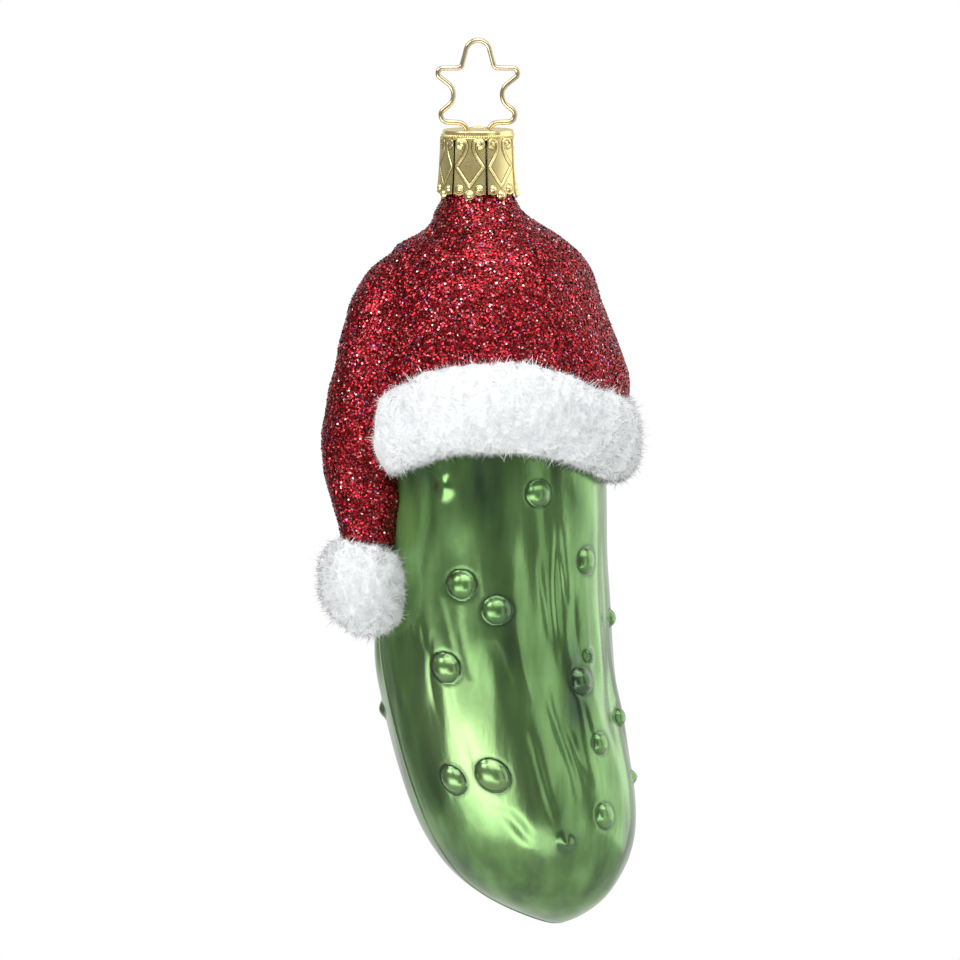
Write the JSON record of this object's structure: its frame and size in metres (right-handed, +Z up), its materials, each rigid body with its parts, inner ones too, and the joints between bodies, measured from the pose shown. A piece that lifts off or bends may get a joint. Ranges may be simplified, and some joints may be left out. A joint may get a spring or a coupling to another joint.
{
  "type": "hanging glass ornament",
  "caption": "Blown-glass pickle in a glittered stocking hat with flocked brim and pompom, under a crown cap and a bent wire star hanger.",
  "frame": {"origin": "where a hook bears, under the top arch of the wire star", "axes": "+Z up, towards the hook; +X to the viewer's right across the star; the front with the tail and pompom faces -Y"},
  "size_m": [0.0469, 0.0426, 0.1271],
  "materials": {
    "green_glass": "mouth-blown glass, silvered inside, satin green lacquer outside",
    "red_glitter": "red polyester glitter strewn in wet red lacquer",
    "white_flock": "short white nylon flock on glue",
    "gold_cap": "stamped brass sheet, bright",
    "gold_wire": "spring steel wire with a satin champagne-gold plate"
  },
  "bodies": {
    "glass": {"glass_shell": "green_glass", "hat_glitter": "red_glitter", "brim_flock": "white_flock", "pompom_flock": "white_flock"},
    "cap": {"crown_cap": "gold_cap"},
    "hanger": {"star_hanger": "gold_wire"}
  },
  "joints": [
    {"name": "cap_pull", "type": "slide", "parent": "glass", "child": "cap", "axis": [0, 0, 1], "range_m": [0, 0.02]},
    {"name": "hanger_draw", "type": "slide", "parent": "cap", "child": "hanger", "axis": [0, 0, 1], "range_m": [0, 0.0022]}
  ]
}
